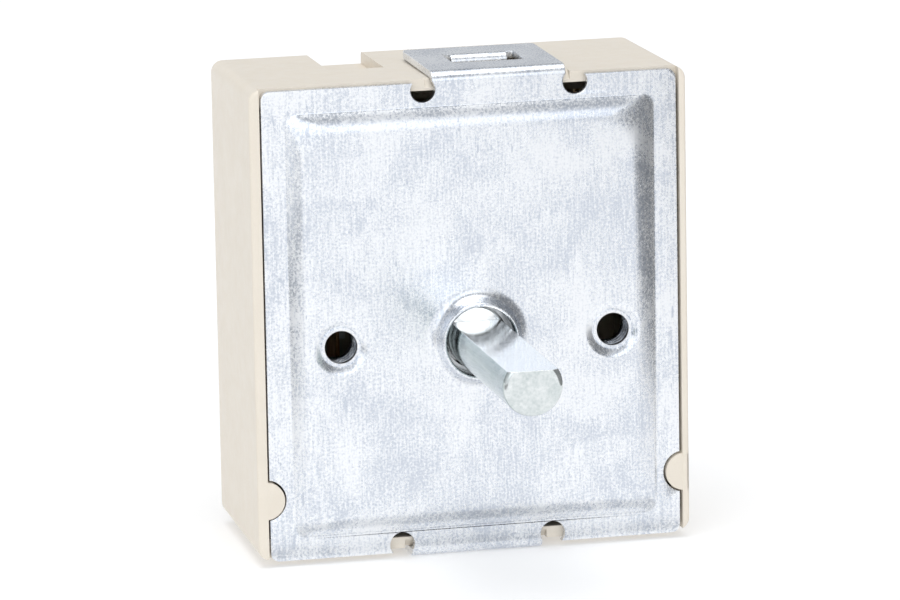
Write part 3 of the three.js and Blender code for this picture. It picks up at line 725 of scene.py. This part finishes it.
class FlatPattern:
    """Points and constraint edges for the sheet's triangulation."""

    def __init__(self):
        self.points = []
        self.edges = []

    def add(self, x, z):
        self.points.append(Vector((x, z)))
        return len(self.points) - 1

    def loop(self, ring):
        ids = [self.add(x, z) for x, z in ring]
        self.edges += [(a, b) for a, b in zip(ids, ids[1:] + ids[:1])]


def inside(ring, x, z):
    """Whether (x, z) is inside a ring of points."""
    result = False
    for (ax, az), (bx, bz) in zip(ring, ring[1:] + ring[:1]):
        if (az > z) != (bz > z) and x < ax + (z - az) * (bx - ax) / (bz - az):
            result = not result
    return result


def pattern_of_plate(outline, window):
    pattern = FlatPattern()
    pattern.loop(outline)
    pattern.loop(window)
    for d in ROLL_RINGS:
        w = PLATE["w"] - 2 * (CREASE_MARGIN + d)
        h = PLATE["h"] - 2 * (CREASE_MARGIN + d)
        radius = CREASE_CORNER + max(2 * d / ROLL_RUN, d)
        pattern.loop(rounded_ring(PLATE["cx"], PLATE["cz"], w, h, radius, 8))
    pattern.loop(circle(0, COLLAR_EDGE, COLLAR_SIDES))
    for side in (-1, 1):
        for r in HOLE_RINGS:
            pattern.loop(circle(side * HOLE_X, r, HOLE_SIDES))
    for tab in (TOP_TAB, BOTTOM_TAB):
        for i in range(9):
            level = fold_start(tab) + BEND_LENGTH * i / 8
            half = tab["w"] / 2 - (0 if level > notch_end(tab) else 0.35)
            ends = [pattern.add(tab["cx"] + side * half, tab["side"] * level) for side in (-1, 1)]
            pattern.edges.append(tuple(ends))
    return pattern


def boundary_loops(faces):
    """Ordered loops of the directed edges that belong to one face only."""
    directed = {(a, b) for face in faces for a, b in zip(face, face[1:] + face[:1])}
    following = {a: b for a, b in directed if (b, a) not in directed}
    loops = []
    while following:
        first = next(iter(following))
        ring = [first]
        step = following.pop(first)
        while step != first:
            ring.append(step)
            step = following.pop(step)
        loops.append(ring)
    return loops


def loop_kind(ring, flat):
    """Which hole a boundary loop is, or the sheet's edge."""
    middle = sum((flat[i] for i in ring), Vector((0, 0))) / len(ring)
    reach = max((flat[i] - middle).length for i in ring)
    if middle.length < 0.1 and abs(reach - COLLAR_EDGE) < 0.01:
        return "collar", 0
    for side in (-1, 1):
        if abs(middle.x - side * HOLE_X) < 0.1 and abs(middle.y) < 0.1:
            return "hole", side * HOLE_X
    return "edge", 0


def inward(ring, flat):
    """For each point of a boundary loop, the unit direction in the pattern that leads into the sheet."""
    directions = {}
    count = len(ring)
    for k, i in enumerate(ring):
        before = flat[ring[k - 1]]
        after = flat[ring[(k + 1) % count]]
        into = (flat[i] - before).normalized()
        out = (after - flat[i]).normalized()
        along = (into + out).normalized()
        directions[i] = Vector((-along.y, along.x))
    return directions


def bridge(faces, near, far):
    count = len(near)
    for k in range(count):
        j = (k + 1) % count
        faces.append((near[k], far[k], far[j], near[j]))


def sheet_edge(points, faces, ring, flat, heights, front, back):
    """Closes a sheared edge with a rounded lip on both faces."""
    directions = inward(ring, flat)
    stages = [(0.3, 0.29), (0.0, 1.0)]
    rows = [(inset * EDGE_ROUND, depth * EDGE_ROUND) for inset, depth in stages]
    rows += [(inset * EDGE_ROUND, SHEET - depth * EDGE_ROUND) for inset, depth in reversed(stages)]
    previous = front
    for inset, depth in rows:
        ids = []
        for i in ring:
            spot = flat[i] + directions[i] * inset
            points.append(place(spot.x, spot.y, heights[i], depth))
            ids.append(len(points) - 1)
        bridge(faces, previous, ids)
        previous = ids
    bridge(faces, previous, back)


def lathe_rows(points, ring, flat, cx, profile):
    """One row of points for each (radius, y) of a profile, at the angles of a boundary loop."""
    rows = []
    for r, y in profile:
        ids = []
        for i in ring:
            ray = Vector((flat[i].x - cx, flat[i].y)).normalized()
            points.append(Vector((cx + r * ray.x, y, r * ray.y)) * MM)
            ids.append(len(points) - 1)
        rows.append(ids)
    return rows


def thread_rows(points, ring, flat, cx, start, end):
    """The tapped bore: rows of points whose radius follows a helical thread."""
    per_pitch = 8
    count = round((end - start) / THREAD_PITCH * per_pitch)
    rows = []
    for k in range(count + 1):
        y = start + (end - start) * k / count
        fade = min(1, 4 * min(k, count - k) / count)
        ids = []
        for i in ring:
            ray = Vector((flat[i].x - cx, flat[i].y)).normalized()
            phase = (y / THREAD_PITCH + math.atan2(ray.y, ray.x) / (2 * math.pi)) % 1
            groove = 1 - abs(2 * phase - 1)
            r = HOLE_R + (THREAD_ROOT_R - HOLE_R) * groove * fade
            points.append(Vector((cx + r * ray.x, y, r * ray.y)) * MM)
            ids.append(len(points) - 1)
        rows.append(ids)
    return rows


def front_plate():
    outline = plate_outline()
    window = window_outline()
    pattern = pattern_of_plate(outline, window)
    made = delaunay_2d_cdt(pattern.points, pattern.edges, [], 0, 1e-5)
    flat, triangles = list(made[0]), [list(t) for t in made[2]]
    heights = [pressed_height(p.x, p.y) for p in flat]

    def is_sheet(face):
        middle = sum((flat[i] for i in face), Vector((0, 0))) / 3
        holes = [(0, COLLAR_EDGE), (-HOLE_X, HOLE_R), (HOLE_X, HOLE_R)]
        if any(math.hypot(middle.x - x, middle.y) < r for x, r in holes):
            return False
        return inside(outline, *middle) and not inside(window, *middle)

    sheet = [face for face in triangles if is_sheet(face)]
    loops = boundary_loops(sheet)
    shift = [Vector((0, 0))] * len(flat)
    for ring in loops:
        if loop_kind(ring, flat)[0] == "edge":
            for i, direction in inward(ring, flat).items():
                shift[i] = direction * EDGE_ROUND
    points = []
    for depth in (0, SHEET):
        for i, spot in enumerate(flat):
            moved = spot + shift[i]
            points.append(place(moved.x, moved.y, heights[i], depth))
    behind = len(flat)

    def under_plunge(face):
        return any(
            all(math.hypot(flat[i].x - side * HOLE_X, flat[i].y) < PLUNGE_R + 0.01 for i in face)
            for side in (-1, 1)
        )

    back_sheet = [face for face in sheet if not under_plunge(face)]
    faces = [tuple(face) for face in sheet]
    faces += [tuple(i + behind for i in reversed(face)) for face in back_sheet]
    back_loops = {loop_kind(ring, flat): ring for ring in boundary_loops(back_sheet)}
    for ring in loops:
        kind, cx = loop_kind(ring, flat)
        front = ring
        if kind == "edge":
            sheet_edge(points, faces, ring, flat, heights, front, [i + behind for i in ring])
            continue
        if kind == "collar":
            rows = lathe_rows(points, ring, flat, 0, COLLAR)
            rows.append([i + behind for i in ring])
        else:
            start = heights[ring[0]]
            rows = thread_rows(points, ring, flat, cx, start + 0.02, PLUNGE_BACK - 0.1)
            rows += lathe_rows(points, ring, flat, cx, PLUNGE_END)
            wide = back_loops[("hole", cx)]
            by_angle = {round(angle_of(flat[i].x - cx, flat[i].y)) % 360: i + behind for i in wide}
            rows.append([by_angle[round(angle_of(flat[i].x - cx, flat[i].y)) % 360] for i in ring])
        previous = front
        for row in rows:
            bridge(faces, previous, row)
            previous = row
    return outward(add_mesh("plate_pressing", points, faces))


def tongue():
    """The lanced tongue, bent down from the back edge of the window into its slot in the case."""
    top = TOP_TAB["face"]
    back = WINDOW["back"]
    inner = top - SHEET
    bend = [(back + SHEET * math.cos(a), inner + SHEET * math.sin(a)) for a in
            [math.radians(90 + 90 * i / 8) for i in range(9)]]
    foot = TONGUE["foot"]
    outline = [(back + 0.3, top - 0.01)] + bend
    outline += [(back - SHEET, foot + 0.25), (back - SHEET + 0.2, foot)]
    outline += [(back - 0.1, foot), (back, foot + 0.1)]
    outline += [(back, inner + 0.01), (back + 0.3, inner + 0.01)]
    piece = prism_piece(outline, WINDOW["cx"] - TONGUE["w"] / 2, WINDOW["cx"] + TONGUE["w"] / 2)
    piece.name = "plate_tongue"
    return piece


# ---------------------------------------------------------------- the case

CASE = {"cx": -0.4, "cz": 2.45, "w": 44.7, "h": 47.8, "front": 0.6, "back": 21.2, "draft": 0.25}
CASE_TOP = CASE["cz"] + CASE["h"] / 2
CASE_BOTTOM = CASE["cz"] - CASE["h"] / 2
CASE_CORNER = 1.2
FRONT_ROUND = 0.35
BACK_ROUND = 0.5
LEDGE = 9.8
FLOOR_FRONT = 18.9
LUG_R = 1.91
CASE_EDGE = 0.14
BEYOND = 40
PLATE_GAP = 0.22
GAP_GROOVE = 0.35
FRONT_ROOM = (-20.9, 20.3, 0, LEDGE, -20.3, 25.2)
BACK_ROOM = (-19.6, 19, LEDGE - 1, FLOOR_FRONT, -19, 23)
TONGUE_SLOT = (-0.9, 6.7, 8.8, 10.9, CASE_TOP - 2.6, BEYOND)
REAR_RECESS = (-12.5, -6.8, 10.5, BEYOND, CASE_TOP - 1.5, BEYOND)


def case_outside():
    rings = []
    steps = 5
    for i in range(steps + 1):
        turn = math.pi / 2 * i / steps
        rings.append((FRONT_ROUND * (1 - math.sin(turn)), CASE["front"] + FRONT_ROUND * (1 - math.cos(turn))))
    for i in range(steps + 1):
        turn = math.pi / 2 * i / steps
        inset = CASE["draft"] + BACK_ROUND * (1 - math.cos(turn))
        rings.append((inset, CASE["back"] - BACK_ROUND * (1 - math.sin(turn))))
    points = []
    for inset, y in rings:
        w, h = CASE["w"] - 2 * inset, CASE["h"] - 2 * inset
        outline = rounded_ring(CASE["cx"], CASE["cz"], w, h, CASE_CORNER, 10)
        points += [Vector((x, y, z)) * MM for x, z in outline]
    count = len(points) // len(rings)
    faces = [tuple(range(count)), tuple(range(len(points) - 1, len(points) - count - 1, -1))]
    for k in range(len(rings) - 1):
        for i in range(count):
            j = (i + 1) % count
            faces.append((k * count + i, k * count + j, (k + 1) * count + j, (k + 1) * count + i))
    return outward(add_mesh("case_moulding", points, faces))


def terminal_names():
    return sorted(name for name in frame["nodes"] if name.startswith("terminal_"))


def terminal_slot(name):
    """A clear slot in the back wall, round one blade."""
    low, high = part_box(name)
    tip = high.y
    blade = [v.co for v in frame["nodes"][name].data.vertices if v.co.y > tip - 7 * MM]
    clear = 0.15
    x0 = min(p.x for p in blade) / MM - clear
    x1 = max(p.x for p in blade) / MM + clear
    z0 = min(p.z for p in blade) / MM - clear
    z1 = max(p.z for p in blade) / MM + clear
    return box_piece(x0, x1, FLOOR_FRONT - 1, CASE["back"] + 1, z0, z1)


def case_cutters():
    left, right = PLATE_LEFT - PLATE_GAP, PLATE_RIGHT + PLATE_GAP
    rebate_back = EMBOSS + SHEET + GAP
    yield box_piece(left, right, -1, rebate_back, -BEYOND, BEYOND)
    for edge in (left, right - GAP_GROOVE):
        yield box_piece(edge, edge + GAP_GROOVE, 1, 5, -19.5, 24.4)
    for tab, edge in ((TOP_TAB, CASE_TOP), (BOTTOM_TAB, CASE_BOTTOM)):
        side = tab["side"]
        relief = [(0, edge + side), (0, edge - side * 2.5), (2.7, edge), (2.7, edge + side)]
        half = tab["w"] / 2 + 0.6
        yield prism_piece(relief, tab["cx"] - half, tab["cx"] + half)
    for room in (FRONT_ROOM, BACK_ROOM, TONGUE_SLOT, REAR_RECESS):
        yield box_piece(*room)
    for name in terminal_names():
        yield terminal_slot(name)


def back_details():
    """Moulding marks on the back wall: shallow ejector-pin rounds and a plain recessed field."""
    shallow = 0.12
    for x, z in ((-18.5, -17.5), (18, -6), (-18.5, 3), (4, -16.5), (17.5, 8)):
        yield rod_piece(x, z, 1.4, CASE["back"] - shallow, CASE["back"] + 1, 40)
    yield box_piece(-7, 6, CASE["back"] - shallow, CASE["back"] + 1, 15.5, 22)
    yield rod_piece(0, 0, 5.2, CASE["back"] - 0.25, CASE["back"] + 1)


def case():
    body = case_outside()
    combine(body, "DIFFERENCE", *case_cutters())
    for x in (PLATE_LEFT - LUG_INSET, PLATE_RIGHT + LUG_INSET):
        lug = rod_piece(x, LUG_Z, LUG_R, CASE["front"] + 0.02, LEDGE + 0.5)
        combine(lug, "INTERSECT", case_outside())
        combine(body, "UNION", lug)
    boss = rod_piece(0, 0, 4.2, 17.6, FLOOR_FRONT + 0.5)
    post = box_piece(-2.4, 2.4, 15.4, FLOOR_FRONT + 0.5, -11, -8.8)
    combine(body, "UNION", boss, post)
    combine(body, "DIFFERENCE", rod_piece(0, 0, 2.15, 17, 20.5))
    combine(body, "DIFFERENCE", *back_details())
    return body


# ---------------------------------------------------------------- the shaft

SHAFT_R = 3
SHAFT_TIP = -23
SHAFT_FLAT = 1.6
SHAFT_FLAT_END = 1.05
SHAFT_NOSE = 0.62
KEY_FLAT = 2.2
KEY_FRONT = 3.3
KEY_BACK = 17.1
JOURNAL = ((2, KEY_BACK), (2, 19.9), (1.7, 20.2))
CLIP_GROOVE = {"r": 2.4, "front": 1.55, "back": 2.15}
ARC_STEPS = 60
CHORD_STEPS = 8


def d_section(r, flat, cut=True):
    """A circle with a flat cut across its top, or the same points on the uncut circle."""
    corner = math.asin(flat / r)
    sweep = math.pi + 2 * corner
    angles = [math.pi - corner + sweep * i / ARC_STEPS for i in range(ARC_STEPS)]
    ring = [(r * math.cos(a), r * math.sin(a)) for a in angles]
    for i in range(CHORD_STEPS):
        a = corner + (math.pi - 2 * corner) * i / CHORD_STEPS
        ring.append((flat / math.tan(a), flat) if cut else (r * math.cos(a), r * math.sin(a)))
    return ring


def shaft():
    """The D-shaft: rounded nose, long flat, clip groove, the drum's key flat and the rear journal."""
    rings = []
    steps = 6
    for i in range(steps + 1):
        turn = math.pi / 2 * i / steps
        r = SHAFT_R - SHAFT_NOSE * (1 - math.sin(turn))
        rings.append((SHAFT_TIP + SHAFT_NOSE * (1 - math.cos(turn)), d_section(r, SHAFT_FLAT)))
    rings.append((SHAFT_FLAT_END, d_section(SHAFT_R, SHAFT_FLAT)))
    rings.append((SHAFT_FLAT_END, d_section(SHAFT_R, SHAFT_FLAT, cut=False)))
    for r, y in (
        (SHAFT_R, CLIP_GROOVE["front"]), (CLIP_GROOVE["r"], CLIP_GROOVE["front"]),
        (CLIP_GROOVE["r"], CLIP_GROOVE["back"]), (SHAFT_R, CLIP_GROOVE["back"]),
    ):
        rings.append((y, d_section(r, SHAFT_FLAT, cut=False)))
    rings.append((KEY_FRONT, d_section(SHAFT_R, KEY_FLAT, cut=False)))
    rings.append((KEY_FRONT, d_section(SHAFT_R, KEY_FLAT)))
    rings.append((KEY_BACK, d_section(SHAFT_R, KEY_FLAT)))
    for r, y in JOURNAL:
        rings.append((y, d_section(r, KEY_FLAT * r / SHAFT_R, cut=False)))
    points = [Vector((x, y, z)) * MM for y, ring in rings for x, z in ring]
    count = ARC_STEPS + CHORD_STEPS
    faces = [tuple(range(count)), tuple(range(len(points) - 1, len(points) - count - 1, -1))]
    for k in range(len(rings) - 1):
        near = range(k * count, (k + 1) * count)
        far = range((k + 1) * count, (k + 2) * count)
        bridge(faces, near, far)
    return outward(add_mesh("shaft_bar", points, faces))


# ---------------------------------------------------------------- the heater's wire


def heater_wire():
    """Nine turns of resistance wire wound round the mica sleeve."""
    low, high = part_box("heater_winding")
    radius = 0.2 * MM
    turns = 9
    per_turn = 32
    squareness = 0.35
    half_y = (high.y - low.y) / 2 - radius
    half_z = (high.z - low.z) / 2 - radius
    middle = (low + high) / 2
    data = bpy.data.curves.new("heater_wire", "CURVE")
    data.dimensions = "3D"
    data.bevel_depth = radius
    data.bevel_resolution = 3
    data.use_fill_caps = True
    spline = data.splines.new("POLY")
    count = turns * per_turn
    spline.points.add(count)
    span = high.x - low.x - 2 * radius
    for i in range(count + 1):
        angle = 2 * math.pi * i / per_turn
        c, s = math.cos(angle), math.sin(angle)
        y = half_y * math.copysign(abs(c) ** squareness, c)
        z = half_z * math.copysign(abs(s) ** squareness, s)
        x = low.x + radius + span * i / count
        spline.points[i].co = (x, middle.y + y, middle.z + z, 1)
    wire = bpy.data.objects.new("heater_wire", data)
    bpy.context.scene.collection.objects.link(wire)
    return wire


# ---------------------------------------------------------------- the assembly


def dress_cad_nodes(materials):
    slots = {row["node"]: row["material_slot"] for row in frame["record"]["subparts"]}
    for name, node in frame["nodes"].items():
        paint(node, materials[slots[name]])
        if "custom_normal" in node.data.attributes:
            node.data.attributes.remove(node.data.attributes["custom_normal"])
        weld = node.modifiers.new("weld", "WELD")
        weld.merge_threshold = 1e-6
        smooth(node, 30)
        soften_edges(node, 0.06 * MM)


def stand_in(piece, node, body, material):
    if piece.type == "MESH":
        paint(piece, material)
    else:
        piece.data.materials.append(material)
    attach(piece, body)
    if node:
        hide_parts(node)


def build():
    make_camera()
    make_floor()
    make_cards()
    make_light()
    make_world()
    materials = make_materials()
    dress_cad_nodes(materials)

    plate = smooth(front_plate(), 40)
    plate.modifiers.new("normals", "WEIGHTED_NORMAL").keep_sharp = True
    stand_in(plate, "front_plate", "case", materials["plate"])
    hook = smooth(tongue())
    soften_edges(hook, 0.07 * MM)
    stand_in(hook, "front_plate", "case", materials["plate"])

    moulding = smooth(case(), 30)
    soften_edges(moulding, CASE_EDGE * MM, 3, 30)
    stand_in(moulding, "housing", "case", materials["case"])

    bar = smooth(shaft(), 30)
    soften_edges(bar, 0.1 * MM, 3, 30)
    stand_in(bar, "shaft", "shaft_and_cams", materials["shaft"])

    wire = heater_wire()
    stand_in(wire, "heater_winding", "bimetal", materials["heater"])


build()
bpy.context.scene.view_settings.view_transform = "Standard"

bpy.context.view_layer.update()
